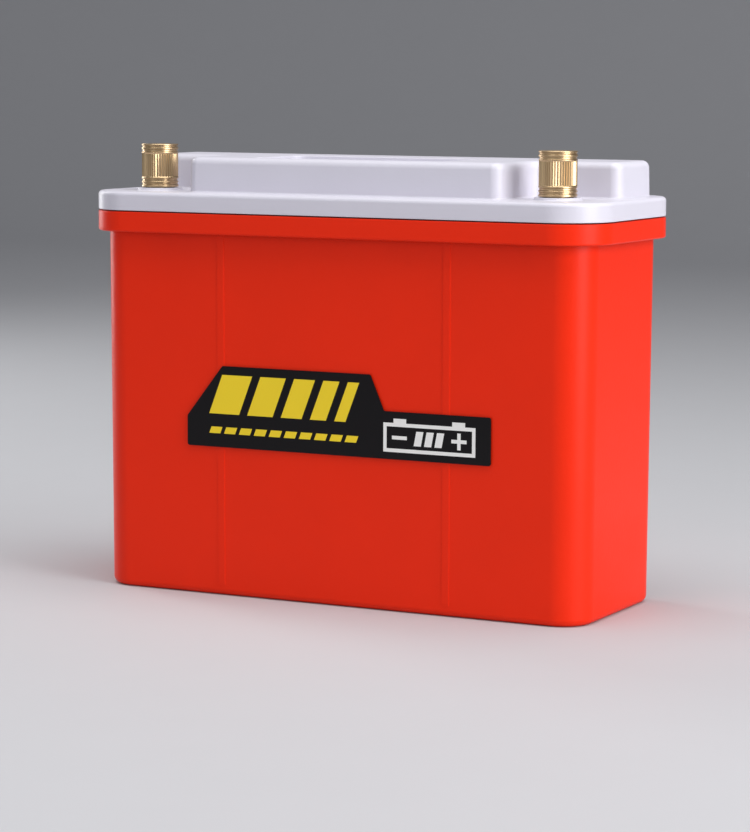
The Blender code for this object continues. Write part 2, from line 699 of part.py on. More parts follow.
def packing():
    """Dividers between the cells, a pad below them, bands round them and foam beside them."""
    middle = (CELL_BASE + CELL_TOP) / 2
    block("cell_divider_long", (2 * PACK_HALF_X, DIVIDER, CELL_HEIGHT - 2 * MM), (0, 0, middle), LAMINATE)
    for label, side in (("front", -1), ("rear", 1)):
        block(
            f"cell_divider_{label}", (DIVIDER, CELL_DEPTH, CELL_HEIGHT - 2 * MM), (0, side * CELL_Y,
                middle), LAMINATE
        )
    block("bottom_pad", (2 * PACK_HALF_X, 2 * PACK_HALF_Y, PAD_THICKNESS),
          (0, 0, FLOOR + GAP + PAD_THICKNESS / 2), FOAM, edge=CELL_CORNER)
    for n, height in enumerate(BAND_HEIGHTS):
        inner = rectangle(PACK_HALF_X + GAP, PACK_HALF_Y + GAP, CELL_CORNER)
        wide = GAP + BAND_THICKNESS
        outer = rectangle(PACK_HALF_X + wide, PACK_HALF_Y + wide, CELL_CORNER + BAND_THICKNESS)
        band = prism(f"cell_band_{('lower', 'upper')[n]}", outer, height, height + BAND_WIDTH, TAPE)
        cut(band, prism(f"band_room_{n}", inner, height - MM, height + BAND_WIDTH + MM, TAPE, CUTTERS))
    inside = PACK_HALF_Y + 2 * GAP + BAND_THICKNESS
    outside = INSIDE_Y - BODY_DRAFT - RIB_HEIGHT - GAP
    base = FLOOR + GAP
    for label, side in (("front", -1), ("rear", 1)):
        block(
            f"foam_{label}", (2 * PACK_HALF_X - 4 * MM, outside - inside, FOAM_FRONT_HEIGHT),
            (0, side * (inside + outside) / 2, base + 2 * MM + FOAM_FRONT_HEIGHT / 2), FOAM,
        )
    inside = PACK_HALF_X + 2 * GAP + BAND_THICKNESS
    outside = INSIDE_X - BODY_DRAFT - GAP
    for label, side in (("left", -1), ("right", 1)):
        block(
            f"foam_{label}", (outside - inside, 2 * (INSIDE_Y - BODY_CORNER + WALL) + 2 * MM,
                FOAM_END_HEIGHT),
            (side * (inside + outside) / 2, 0, base + 2 * MM + FOAM_END_HEIGHT / 2), FOAM,
        )


def board():
    """Tray with four pillars, the protection board on them, its heat sink and its plug."""
    tray = block("board_tray", (TRAY_LENGTH, TRAY_DEPTH, TRAY_THICKNESS),
        (0, 0, TRAY_BASE + TRAY_THICKNESS / 2),
                 LAMINATE, edge=2 * MM)
    for n, (a, b) in enumerate(((-1, -1), (1, -1), (1, 1), (-1, 1))):
        place = (a * (TRAY_LENGTH / 2 - PILLAR_INSET), b * (TRAY_DEPTH / 2 - PILLAR_INSET), 0)
        join(tray, rod(f"pillar_{n}", PILLAR_RADIUS, TRAY_BASE + TRAY_THICKNESS / 2,
            TRAY_TOP + PILLAR_HEIGHT,
                       place, sides=SMALL_SIDES))
    size = (TRAY_LENGTH - 2 * BOARD_INSET, TRAY_DEPTH - 2 * BOARD_INSET, BOARD_THICKNESS)
    block("protection_board", size, (0, 0, BOARD_BASE + BOARD_THICKNESS / 2), BOARD_GREEN, edge=2 * MM)
    low = BOARD_TOP + GAP
    sink = block("heat_sink", (SINK_LENGTH, SINK_DEPTH, SINK_HEIGHT),
        (0, -PILLAR_INSET, low + SINK_HEIGHT / 2),
                 ALUMINIUM)
    for n in range(-1, 2):
        cut(sink, block(f"sink_slot_{n}", (SINK_LENGTH + WALL, SINK_SLOT, SINK_HEIGHT),
                        (0, -PILLAR_INSET + 2.4 * n * SINK_SLOT,
                            low + SINK_HEIGHT * 0.9), ALUMINIUM, CUTTERS))
    block("balance_plug", (PLUG_LENGTH, PLUG_DEPTH, PLUG_HEIGHT),
          (0, TRAY_DEPTH / 2 - BOARD_INSET - PLUG_DEPTH / 2 - MM, low + PLUG_HEIGHT / 2), NYLON)


def leads(post_axis):
    """Positive lead to the left post, negative lead from the board to the right post, sense wire."""
    start = LUG_RADIUS + LUG_NECK - MM + BARREL_LENGTH / 3 + GAP
    mouth = LUG_RADIUS + LUG_NECK - MM + BARREL_LENGTH
    clear = mouth + LEAD_RADIUS
    outer = CELL_X + TERMINAL_OFFSET
    to_post = [(POST_Y + clear, post_axis), (POST_Y + mouth, post_axis), (POST_Y + start, post_axis)]
    bend = 1.6 * LEAD_RADIUS
    middle = (PACK_LUG_AXIS + post_axis) / 2
    tube(
        "positive_lead",
        [
            (-outer - start, CELL_Y, PACK_LUG_AXIS), (-outer - mouth, CELL_Y, PACK_LUG_AXIS),
            (-outer - clear, CELL_Y, PACK_LUG_AXIS), (-POST_X - bend, CELL_Y - bend, middle),
            (-POST_X - bend / 2, (CELL_Y + POST_Y + clear) / 2 - bend / 2, middle),
            *((-POST_X, y, z) for y, z in to_post),
        ],
        LEAD_RADIUS, RED_WIRE,
    )
    pad = BOARD_TOP + GAP + LEAD_RADIUS
    side = HOUSING_SHELF_Y + LID_WALL + LEAD_RADIUS + bend
    tube(
        "negative_lead",
        [
            (SINK_LENGTH / 2 + LEAD_RADIUS * 2, side, pad), (TRAY_LENGTH / 2 + LEAD_RADIUS, side, pad),
            (POST_X - 4 * bend, side, pad - bend / 4), (POST_X - 2 * bend, side, (pad + post_axis) / 2),
            (POST_X - bend / 5, side - bend / 2, post_axis + bend / 5),
            *((POST_X, y, z) for y, z in to_post),
        ],
        LEAD_RADIUS, BLACK_WIRE,
    )
    back = TRAY_DEPTH / 2 + 2 * WIRE_RADIUS + GAP
    plug_y = TRAY_DEPTH / 2 - BOARD_INSET - MM + GAP
    tube(
        "sense_wires",
        [
            (0, plug_y, BOARD_TOP + 2 * MM), (0, back, BOARD_TOP + MM), (0, back + WIRE_RADIUS, TRAY_TOP),
            (0, back, BUSBAR_TOP + 2 * MM), (0, CELL_Y + BUSBAR_WIDTH / 2 - MM,
                BUSBAR_TOP + WIRE_RADIUS + GAP),
        ],
        WIRE_RADIUS, BLACK_WIRE,
    )


def front_label():
    """Black sticker on the front: a slanted block with a long foot to its right."""
    front = -BODY_HALF_Y - WITNESS_HEIGHT - STICKER_GAP
    corners = [
        (-LABEL_HALF + 2 * MM, LABEL_FOOT), (LABEL_HALF + 2 * MM, LABEL_FOOT), (LABEL_HALF + 2 * MM,
            LABEL_STEP),
        (21.5 * MM, LABEL_STEP), (16 * MM, LABEL_HEAD), (-44.5 * MM, LABEL_HEAD),
        (-LABEL_HALF + 2 * MM, LABEL_FOOT + 11 * MM),
    ]
    points = rounded([(x, z, LABEL_CORNER) for x, z in corners])
    made = prism("front_label", points, 0, LABEL_THICKNESS, LABEL)
    for v in made.data.vertices:
        v.co = (v.co.x, front - v.co.z, v.co.y)


case()
gasket()
lid()
post("positive_post", -1)
post("negative_post", 1)
HEIGHT = post_stack("positive", -1)
post_stack("negative", 1)
cells()
connections()
packing()
board()
leads(HEIGHT)
front_label()
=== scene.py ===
"""A sealed lithium motorcycle battery: red moulded case, white lid, turned brass posts, printed label."""
import json
import math

import bmesh
import bpy
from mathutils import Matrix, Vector


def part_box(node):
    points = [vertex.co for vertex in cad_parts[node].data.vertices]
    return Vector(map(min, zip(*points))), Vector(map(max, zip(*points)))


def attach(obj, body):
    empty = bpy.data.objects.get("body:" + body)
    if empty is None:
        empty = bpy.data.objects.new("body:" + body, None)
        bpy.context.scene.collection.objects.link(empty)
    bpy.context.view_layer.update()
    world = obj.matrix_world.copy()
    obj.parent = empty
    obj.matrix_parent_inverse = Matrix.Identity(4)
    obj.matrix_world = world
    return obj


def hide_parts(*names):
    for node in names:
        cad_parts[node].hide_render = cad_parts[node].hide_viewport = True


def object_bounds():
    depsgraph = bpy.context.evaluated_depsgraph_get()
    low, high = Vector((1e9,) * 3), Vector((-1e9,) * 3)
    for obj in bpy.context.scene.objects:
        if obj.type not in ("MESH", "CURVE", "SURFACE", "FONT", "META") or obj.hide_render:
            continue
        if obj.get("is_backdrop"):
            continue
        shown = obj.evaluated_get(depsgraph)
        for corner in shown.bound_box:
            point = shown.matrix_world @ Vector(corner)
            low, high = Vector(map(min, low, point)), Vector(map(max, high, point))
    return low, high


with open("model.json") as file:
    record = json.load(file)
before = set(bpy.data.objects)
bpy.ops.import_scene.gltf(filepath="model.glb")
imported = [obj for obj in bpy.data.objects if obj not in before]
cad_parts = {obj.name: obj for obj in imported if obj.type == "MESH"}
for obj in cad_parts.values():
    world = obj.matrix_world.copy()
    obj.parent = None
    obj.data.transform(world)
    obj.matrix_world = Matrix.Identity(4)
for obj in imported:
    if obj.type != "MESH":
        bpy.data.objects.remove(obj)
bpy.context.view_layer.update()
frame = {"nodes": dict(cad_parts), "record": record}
MM = 0.001

# Case. Injection-moulded in red ABS as one open box, with a deep collar round its mouth that the lid
# stands on. The walls taper towards the base so that it leaves its mould, and the ribs inside show as
# two faint upright lines on each long wall.
OVERHANG = 4.7 * MM
COLLAR_HEIGHT = 7.4 * MM
COLLAR_CORNER = 18 * MM
COLLAR_SKIN = 2.0 * MM
COLLAR_ROOF = 2.6 * MM
BODY_CORNER = 12 * MM
DRAFT = 0.6 * MM
WALL = 2.6 * MM
FLOOR = 3.0 * MM
RIB_X = 45.5 * MM
RIB_LINE_WIDTH, RIB_LINE_HEIGHT, RIB_LINE_FOOT = 3.0 * MM, 0.2 * MM, 4 * MM
BASE_ROUND = 2.6 * MM
COLLAR_TOP_ROUND, COLLAR_FOOT_ROUND = 0.4 * MM, 0.7 * MM
GASKET_PLAY = (0.3 * MM, 0.15 * MM)
HALF_X, HALF_Y, CASE_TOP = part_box("case")[1]
BODY_X, BODY_Y = HALF_X - OVERHANG, HALF_Y - OVERHANG


def pick(obj, kind, wanted):
    """Enters edit mode with only the edges or faces selected that pass the test."""
    bpy.ops.object.select_all(action="DESELECT")
    obj.select_set(True)
    bpy.context.view_layer.objects.active = obj
    bpy.ops.object.mode_set(mode="EDIT")
    bpy.ops.mesh.select_mode(type=kind)
    bpy.ops.mesh.select_all(action="DESELECT")
    work = bmesh.from_edit_mesh(obj.data)
    items = work.edges if kind == "EDGE" else work.faces
    for item in items:
        if wanted(item):
            item.select_set(True)
    bmesh.update_edit_mesh(obj.data)


def at_height(level):
    return lambda item: all(abs(v.co.z - level) < 1e-6 for v in item.verts)


def upright(edge):
    a, b = (v.co for v in edge.verts)
    return abs(a.x - b.x) < 1e-6 and abs(a.y - b.y) < 1e-6


def round_edges(obj, wanted, width, segments=4):
    pick(obj, "EDGE", wanted)
    bpy.ops.mesh.bevel(offset=width, segments=segments, affect="EDGES")
    bpy.ops.object.mode_set(mode="OBJECT")


def rounded_box(name, low, high, corner=0.0, segments=12):
    """A box between two opposite corners, with its upright edges rounded."""
    bpy.ops.object.select_all(action="DESELECT")
    middle = [(a + b) / 2 for a, b in zip(low, high)]
    size = [b - a for a, b in zip(low, high)]
    bpy.ops.mesh.primitive_cube_add(size=1, location=middle, scale=size)
    obj = bpy.context.object
    obj.name = name
    bpy.ops.object.transform_apply(location=True, rotation=True, scale=True)
    if corner:
        round_edges(obj, upright, corner, segments)
    return obj


def taper(obj, level, inset, half_x, half_y):
    """Draws in the face at one height, so that every wall leans by the same amount."""
    pick(obj, "FACE", at_height(level))
    value = (1 - inset / half_x, 1 - inset / half_y, 1)
    bpy.ops.transform.resize(value=value, center_override=(0, 0, level))
    bpy.ops.object.mode_set(mode="OBJECT")


def combine(obj, other, operation="UNION"):
    """Joins another solid to this one or cuts it away, and uses it up."""
    bpy.ops.object.select_all(action="DESELECT")
    obj.select_set(True)
    bpy.context.view_layer.objects.active = obj
    step = obj.modifiers.new(operation.lower(), "BOOLEAN")
    step.operation = operation
    step.solver = "EXACT"
    step.object = other
    bpy.ops.object.modifier_apply(modifier=step.name)
    bpy.data.objects.remove(other)


def finish_shading(obj, angle=32):
    """Smooth over the roundings, and flat over the flats."""
    bpy.ops.object.select_all(action="DESELECT")
    obj.select_set(True)
    bpy.context.view_layer.objects.active = obj
    bpy.ops.object.shade_smooth_by_angle(angle=math.radians(angle))
    step = obj.modifiers.new("flats", "WEIGHTED_NORMAL")
    step.keep_sharp = True
    bpy.ops.object.modifier_apply(modifier=step.name)


case = rounded_box("case_shell", (-BODY_X, -BODY_Y, 0), (BODY_X, BODY_Y, CASE_TOP - WALL), BODY_CORNER)
taper(case, 0, DRAFT, BODY_X, BODY_Y)
round_edges(case, at_height(0), BASE_ROUND, 5)
line_y = BODY_Y + RIB_LINE_HEIGHT
for side in (-1, 1):
    low = (side * RIB_X - RIB_LINE_WIDTH / 2, -line_y, RIB_LINE_FOOT)
    high = (side * RIB_X + RIB_LINE_WIDTH / 2, line_y, CASE_TOP - COLLAR_HEIGHT / 2)
    line = rounded_box(f"rib_line_{side}", low, high, RIB_LINE_HEIGHT * 0.9, 2)
    pick(line, "FACE", at_height(low[2]))
    bpy.ops.transform.resize(value=(1, 1 - DRAFT / BODY_Y, 1), center_override=(side * RIB_X, 0, 0))
    bpy.ops.object.mode_set(mode="OBJECT")
    combine(case, line)
collar_low = CASE_TOP - COLLAR_HEIGHT
collar = rounded_box("collar", (-HALF_X, -HALF_Y, collar_low), (HALF_X, HALF_Y, CASE_TOP), COLLAR_CORNER)
round_edges(collar, at_height(CASE_TOP), COLLAR_TOP_ROUND, 3)
round_edges(collar, at_height(collar_low), COLLAR_FOOT_ROUND, 3)
skirt_x, skirt_y = HALF_X - COLLAR_SKIN, HALF_Y - COLLAR_SKIN
low, high = (-skirt_x, -skirt_y, collar_low - WALL), (skirt_x, skirt_y, CASE_TOP - COLLAR_ROOF)
combine(collar, rounded_box("skirt_room", low, high, COLLAR_CORNER - COLLAR_SKIN), "DIFFERENCE")
combine(case, collar)
low = (-BODY_X + WALL, -BODY_Y + WALL, FLOOR)
high = (BODY_X - WALL, BODY_Y - WALL, CASE_TOP + WALL)
room = rounded_box("case_room", low, high, BODY_CORNER - WALL)
taper(room, FLOOR, DRAFT, BODY_X, BODY_Y)
combine(case, room, "DIFFERENCE")
gasket_low, gasket_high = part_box("lid_gasket")
seat = gasket_high[0] + GASKET_PLAY[0], gasket_high[1] + GASKET_PLAY[0]
low, high = (-seat[0], -seat[1], gasket_low[2] - GASKET_PLAY[1]), (seat[0], seat[1], CASE_TOP + WALL)
combine(case, rounded_box("gasket_seat", low, high, COLLAR_CORNER - COLLAR_SKIN), "DIFFERENCE")
finish_shading(case)
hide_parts("case")
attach(case, "root")


def build_surface_group():
    """Node group for a worn surface: mottled colour, grain, smudges and settled dust."""
    group = bpy.data.node_groups.new("worn_surface", "ShaderNodeTree")
    face = group.interface
    face.new_socket("Colour", in_out="INPUT", socket_type="NodeSocketColor")
    face.new_socket("Stretch", in_out="INPUT", socket_type="NodeSocketVector")
    for name in ("Variation", "Grain Scale", "Roughness", "Smudges", "Dust"):
        face.new_socket(name, in_out="INPUT", socket_type="NodeSocketFloat")
    face.new_socket("Colour", in_out="OUTPUT", socket_type="NodeSocketColor")
    face.new_socket("Roughness", in_out="OUTPUT", socket_type="NodeSocketFloat")
    face.new_socket("Height", in_out="OUTPUT", socket_type="NodeSocketFloat")
    nodes, links = group.nodes, group.links
    given, out = nodes.new("NodeGroupInput"), nodes.new("NodeGroupOutput")

    def wire(start, end):
        links.new(start, end)

    def maths(operation, a, b):
        node = nodes.new("ShaderNodeMath")
        node.operation = operation
        for socket, value in zip(node.inputs, (a, b)):
            if isinstance(value, (int, float)):
                socket.default_value = value
            else:
                wire(value, socket)
        return node.outputs[0]

    def noise(vector, scale, detail):
        node = nodes.new("ShaderNodeTexNoise")
        node.inputs["Detail"].default_value = detail
        wire(vector, node.inputs["Vector"])
        if isinstance(scale, (int, float)):
            node.inputs["Scale"].default_value = scale
        else:
            wire(scale, node.inputs["Scale"])
        return node.outputs["Fac"]

    place = nodes.new("ShaderNodeTexCoord").outputs["Object"]
    stretch = nodes.new("ShaderNodeVectorMath")
    stretch.operation = "MULTIPLY"
    wire(place, stretch.inputs[0])
    wire(given.outputs["Stretch"], stretch.inputs[1])
    grain = noise(stretch.outputs[0], given.outputs["Grain Scale"], 3)
    mottle = noise(place, 35, 4)
    smudge = noise(place, 14, 6)
    scuff = nodes.new("ShaderNodeMapRange")
    scuff.inputs["From Min"].default_value = 0.5
    scuff.inputs["From Max"].default_value = 0.72
    wire(smudge, scuff.inputs["Value"])
    shade = nodes.new("ShaderNodeHueSaturation")
    wire(given.outputs["Colour"], shade.inputs["Color"])
    change = maths("MULTIPLY", maths("SUBTRACT", mottle, 0.5), given.outputs["Variation"])
    wire(maths("ADD", change, 1), shade.inputs["Value"])
    normal = nodes.new("ShaderNodeSeparateXYZ")
    wire(nodes.new("ShaderNodeNewGeometry").outputs["Normal"], normal.inputs[0])
    facing_up = maths("MAXIMUM", normal.outputs["Z"], 0)
    dust = maths("MULTIPLY", maths("MULTIPLY", facing_up, smudge), given.outputs["Dust"])
    dusted = nodes.new("ShaderNodeMix")
    dusted.data_type = "RGBA"
    wire(dust, dusted.inputs[0])
    wire(shade.outputs[0], dusted.inputs[6])
    dusted.inputs[7].default_value = (0.5, 0.48, 0.45, 1)
    wire(dusted.outputs[2], out.inputs["Colour"])
    worn = maths("MULTIPLY", scuff.outputs[0], given.outputs["Smudges"])
    rough = maths("ADD", given.outputs["Roughness"], maths("ADD", worn, dust))
    wire(rough, out.inputs["Roughness"])
    wire(grain, out.inputs["Height"])
    return group


surface_group = build_surface_group()


def surface(name, colour, roughness, grain_scale, depth, variation=0.12, smudges=0.08, dust=0.0,
            stretch=(1, 1, 1), metallic=0.0, gloss=0.5):
    """A material with one worn_surface group. Grain depth is in metres."""
    made = bpy.data.materials.new(name)
    made.use_nodes = True
    nodes, links = made.node_tree.nodes, made.node_tree.links
    shader = nodes["Principled BSDF"]
    shader.inputs["Metallic"].default_value = metallic
    shader.inputs["Specular IOR Level"].default_value = gloss
    group = nodes.new("ShaderNodeGroup")
    group.node_tree = surface_group
    values = {"Colour": (*colour, 1), "Stretch": stretch, "Variation": variation, "Grain Scale": grain_scale,
              "Roughness": roughness, "Smudges": smudges, "Dust": dust}
    for key, value in values.items():
        group.inputs[key].default_value = value
    links.new(group.outputs["Colour"], shader.inputs["Base Color"])
    links.new(group.outputs["Roughness"], shader.inputs["Roughness"])
    bump = nodes.new("ShaderNodeBump")
    bump.inputs["Distance"].default_value = depth
    links.new(group.outputs["Height"], bump.inputs["Height"])
    links.new(bump.outputs[0], shader.inputs["Normal"])
    return made


def wear(obj, paint):
    """Gives a new piece its one material."""
    obj.data.materials.clear()
    obj.data.materials.append(paint)


wear(case, surface("red_abs", (0.84, 0.024, 0.0025), 0.38, 900, 0.00004, variation=0.08, smudges=0.1,
                   dust=0.02, gloss=0.16))

# Lid. One moulding in white ABS, heat-sealed or glued over the gasket: a flat plate that lines up with
# the collar, a T-shaped hollow housing on it for the electronics, and a round boss under each post.
LID_LOW, LID_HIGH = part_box("lid")
POST_LOW, POST_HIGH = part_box("negative_post")
POST_X, POST_Y = (POST_LOW[0] + POST_HIGH[0]) / 2, (POST_LOW[1] + POST_HIGH[1]) / 2
PLATE_HEIGHT = 6.9 * MM
PLATE_TOP = LID_LOW[2] + PLATE_HEIGHT
PLATE_ROUND, PLATE_FOOT_ROUND = 1.5 * MM, 0.35 * MM
LID_TOP = LID_HIGH[2]
CENTRE_X = 63 * MM
END_X = HALF_X - 7 * MM
FRONT_Y, BACK_Y = -HALF_Y + 10.5 * MM, HALF_Y - 10 * MM
BOSS_RADIUS, BOSS_HEIGHT = 8.3 * MM, 1.0 * MM
STUD_HOLE = 4.3 * MM
LID_WALL = 2.4 * MM
RECESS_X, RECESS_Y, RECESS_DEPTH, RECESS_CORNER = 38 * MM, 35 * MM, 1.5 * MM, 4 * MM
RECESS_FRONT, RECESS_ROUND = 3.6 * MM, 0.45 * MM
HOUSING_CORNER, HOUSING_ROUND, HOUSING_LEAN = 4 * MM, 2.6 * MM, 0.25 * MM
BOSS_ROUND, CREASE_ROUND = 0.3 * MM, 0.7 * MM
SEAL_DEPTH, SEAL_WIDTH = 0.9 * MM, 1.5 * MM
POINT_MERGE = 0.005 * MM


def t_block(name, inset, low_z, high_z, corner):
    """The T of the housing, drawn in by inset: a wide bar at the back and a narrower one in front."""
    low, high = (-CENTRE_X + inset, FRONT_Y + inset, low_z), (CENTRE_X - inset, BACK_Y - inset, high_z)
    centre = rounded_box(name, low, high)
    low, high = (-END_X + inset, inset, low_z), (END_X - inset, BACK_Y - inset, high_z)
    combine(centre, rounded_box(name + "_ends", low, high))
    pick(centre, "FACE", lambda face: True)
    bpy.ops.mesh.dissolve_limited(angle_limit=math.radians(1))
    bpy.ops.object.mode_set(mode="OBJECT")

    def turning(edge):
        faces = edge.link_faces
        return upright(edge) and len(faces) == 2 and faces[0].normal.angle(faces[1].normal) > 0.5

    round_edges(centre, turning, corner, 8)
    return centre


def cylinder(name, x, y, radius, low, high, sides=64):
    bpy.ops.object.select_all(action="DESELECT")
    bpy.ops.mesh.primitive_cylinder_add(
        vertices=sides, radius=radius, depth=high - low, location=(x, y, (low + high) / 2)
    )
    obj = bpy.context.object
    obj.name = name
    bpy.ops.object.transform_apply(location=True, rotation=True, scale=True)
    return obj


lid = rounded_box("lid_shell", (-HALF_X, -HALF_Y, LID_LOW[2]), (HALF_X, HALF_Y, PLATE_TOP), COLLAR_CORNER)
round_edges(lid, at_height(PLATE_TOP), PLATE_ROUND, 5)
round_edges(lid, at_height(LID_LOW[2]), PLATE_FOOT_ROUND, 2)
housing = t_block("housing", 0, PLATE_TOP - LID_WALL / 2, LID_TOP, HOUSING_CORNER)
taper(housing, LID_TOP, HOUSING_LEAN, END_X, HALF_Y)
round_edges(housing, at_height(LID_TOP), HOUSING_ROUND, 6)
combine(lid, housing)
boss_top = PLATE_TOP + BOSS_HEIGHT
for side in (-1, 1):
    boss = cylinder("boss", side * POST_X, POST_Y, BOSS_RADIUS, PLATE_TOP - LID_WALL / 2, boss_top)
    round_edges(boss, at_height(boss_top), BOSS_ROUND, 3)
    combine(lid, boss)
recess_front = FRONT_Y + RECESS_FRONT
low = (-RECESS_X, recess_front, LID_TOP - RECESS_DEPTH)
high = (RECESS_X, recess_front + RECESS_Y, LID_TOP + WALL)
combine(lid, rounded_box("recess", low, high, RECESS_CORNER), "DIFFERENCE")
inside_x, inside_y = BODY_X - WALL, BODY_Y - WALL
low, high = (-inside_x, -inside_y, LID_LOW[2] - WALL), (inside_x, inside_y, PLATE_TOP - LID_WALL)
combine(lid, rounded_box("plate_room", low, high, BODY_CORNER - WALL), "DIFFERENCE")
under_top = LID_TOP - LID_WALL - RECESS_DEPTH / 2
under = t_block("housing_room", LID_WALL, PLATE_TOP - 1.5 * LID_WALL, under_top, 3 * MM)
combine(lid, under, "DIFFERENCE")
for side in (-1, 1):
    hole = cylinder("stud_hole", side * POST_X, POST_Y, STUD_HOLE, LID_LOW[2], LID_TOP)
    combine(lid, hole, "DIFFERENCE")
    seat_radius = STUD_HOLE + SEAL_WIDTH
    seal_seat = cylinder("seal_seat", side * POST_X, POST_Y, seat_radius, boss_top - SEAL_DEPTH, LID_TOP)
    combine(lid, seal_seat, "DIFFERENCE")


def crease(edge):
    """An inner corner where something stands on the plate."""
    if not at_height(PLATE_TOP)(edge) or len(edge.link_faces) != 2:
        return False
    return edge.calc_face_angle_signed(0) < -0.5


def recess_rim(edge):
    """A sharp edge in the housing's flat top: the recess's rim."""
    if not at_height(LID_TOP)(edge) or len(edge.link_faces) != 2:
        return False
    return edge.calc_face_angle(0) > 1.0


round_edges(lid, crease, CREASE_ROUND, 4)
round_edges(lid, recess_rim, RECESS_ROUND, 3)
pick(lid, "FACE", lambda face: True)
bpy.ops.mesh.remove_doubles(threshold=POINT_MERGE)
bpy.ops.mesh.dissolve_degenerate(threshold=POINT_MERGE)
bpy.ops.object.mode_set(mode="OBJECT")
finish_shading(lid)
wear(lid, surface("white_abs", (0.66, 0.64, 0.72), 0.36, 900, 0.00003, variation=0.05, smudges=0.1,
                  dust=0.06))
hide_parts("lid")
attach(lid, "root")

# Posts. Turned from brass bar on a lathe: two rings at each end, a waist with a fine straight knurl that
# a cable clamp bites on, and a stud below that goes through the lid to a nut.
TEETH = 44
KNURL = 0.3 * MM
POST_RADIUS = (POST_HIGH[0] - POST_LOW[0]) / 2
GROOVE = 0.32 * MM
STUD_RADIUS = 4.0 * MM
SEAL_SHOWS = 0.3 * MM
POST_FOOT = boss_top + SEAL_SHOWS
WAIST_DROP, WAIST_END, TOP_CHAMFER, LIP = 0.1 * MM, 0.25 * MM, 0.5 * MM, 0.12 * MM
lower_rings = ((0.85, 0), (0.65, 1), (0.65, 0), (0.85, 1), (0.65, 0))
upper_rings = ((0.5, 0), (0.85, 1), (0.8, 0), (0.6, 1), (0.6, 0))
ring_total = sum(height for height, _ in lower_rings + upper_rings) * MM
waist = POST_HIGH[2] - POST_FOOT - ring_total


def turn_post(name, x, y):
    """Grows the post from the stud's end to its top, one extrusion for each step of the profile."""
    bpy.ops.object.select_all(action="DESELECT")
    bpy.ops.mesh.primitive_circle_add(
        vertices=2 * TEETH, radius=STUD_RADIUS, fill_type="NGON", location=(x, y, POST_LOW[2])
    )
    obj = bpy.context.object
    obj.name = name
    bpy.ops.object.transform_apply(location=True, rotation=True, scale=True)
    bpy.ops.object.mode_set(mode="EDIT")
    bpy.ops.mesh.select_all(action="SELECT")
    now = [STUD_RADIUS, POST_LOW[2]]

    def grow(height, radius):
        move = {"value": (0, 0, height)}
        bpy.ops.mesh.extrude_region_move(TRANSFORM_OT_translate=move)
        factor = radius / now[0]
        now[1] += height
        bpy.ops.transform.resize(value=(factor, factor, 1), center_override=(x, y, now[1]))
        now[0] = radius

    def rings(steps):
        for height, grooved in steps:
            inner = POST_RADIUS - (GROOVE if grooved else 0)
            grow(0, inner - LIP)
            grow(LIP, inner)
            grow(height * MM - 2 * LIP, inner)
            grow(LIP, inner - LIP)

    grow(POST_FOOT - POST_LOW[2], STUD_RADIUS)
    rings(lower_rings)
    waist_radius = POST_RADIUS - WAIST_DROP
    grow(0, waist_radius)
    knurl_low = now[1]
    grow(WAIST_END, waist_radius)
    grow(waist - 2 * WAIST_END, waist_radius)
    grow(WAIST_END, waist_radius)
    knurl_high = now[1]
    rings(upper_rings)
    grow(0, POST_RADIUS - TOP_CHAMFER)
    bpy.ops.mesh.select_all(action="SELECT")
    bpy.ops.mesh.remove_doubles(threshold=1e-7)
    bpy.ops.mesh.normals_make_consistent(inside=False)
    bpy.ops.mesh.select_mode(type="VERT")
    bpy.ops.mesh.select_all(action="DESELECT")
    work = bmesh.from_edit_mesh(obj.data)
    for v in work.verts:
        turn = math.atan2(v.co.y - y, v.co.x - x) / math.tau * 2 * TEETH
        if round(turn) % 2 and knurl_low + WAIST_END / 2 < v.co.z < knurl_high - WAIST_END / 2:
            v.select_set(True)
    bmesh.update_edit_mesh(obj.data)
    factor = 1 - KNURL / waist_radius
    bpy.ops.transform.resize(value=(factor, factor, 1), center_override=(x, y, 0))
    bpy.ops.object.mode_set(mode="OBJECT")
    finish_shading(obj, 28)
    return obj


brass = surface("turned_brass", (0.62, 0.45, 0.26), 0.32, 160, 0.00002, variation=0.25, smudges=0.16,
                stretch=(1, 1, 24), metallic=1.0)
for side, node in ((-1, "positive_post"), (1, "negative_post")):
    post = turn_post(node + "_turned", side * POST_X, POST_Y)
    wear(post, brass)
    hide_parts(node)
    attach(post, "root")

# Label. A die-cut black polyester film stuck to the front wall, printed in yellow and white. The print
# is plain bars and a battery sign: slanted stripes over a row of dashes, and a battery on the right.
LABEL_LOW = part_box("front_label")[0]
INK = 0.03 * MM


def ink(name, x, z, width, height, lean=0.0):
    """A printed bar, its top moved sideways by lean."""
    low = (x, LABEL_LOW[1] - INK, z)
    high = (x + width, LABEL_LOW[1] + INK, z + height)
    bar = rounded_box(name, low, high)
    if lean:
        pick(bar, "FACE", at_height(z + height))
        bpy.ops.transform.translate(value=(lean, 0, 0))
        bpy.ops.object.mode_set(mode="OBJECT")
    return bar


def print_of(name, bars, colour):
    """Bars joined into one print, in one ink."""
    bpy.ops.object.select_all(action="DESELECT")
    for bar in bars:
        bar.select_set(True)
    bpy.context.view_layer.objects.active = bars[0]
    bpy.ops.object.join()
    whole = bpy.context.object
    whole.name = name
    wear(whole, surface(name + "_ink", colour, 0.42, 1500, 0.000004, variation=0.06, smudges=0.05))
    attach(whole, "root")


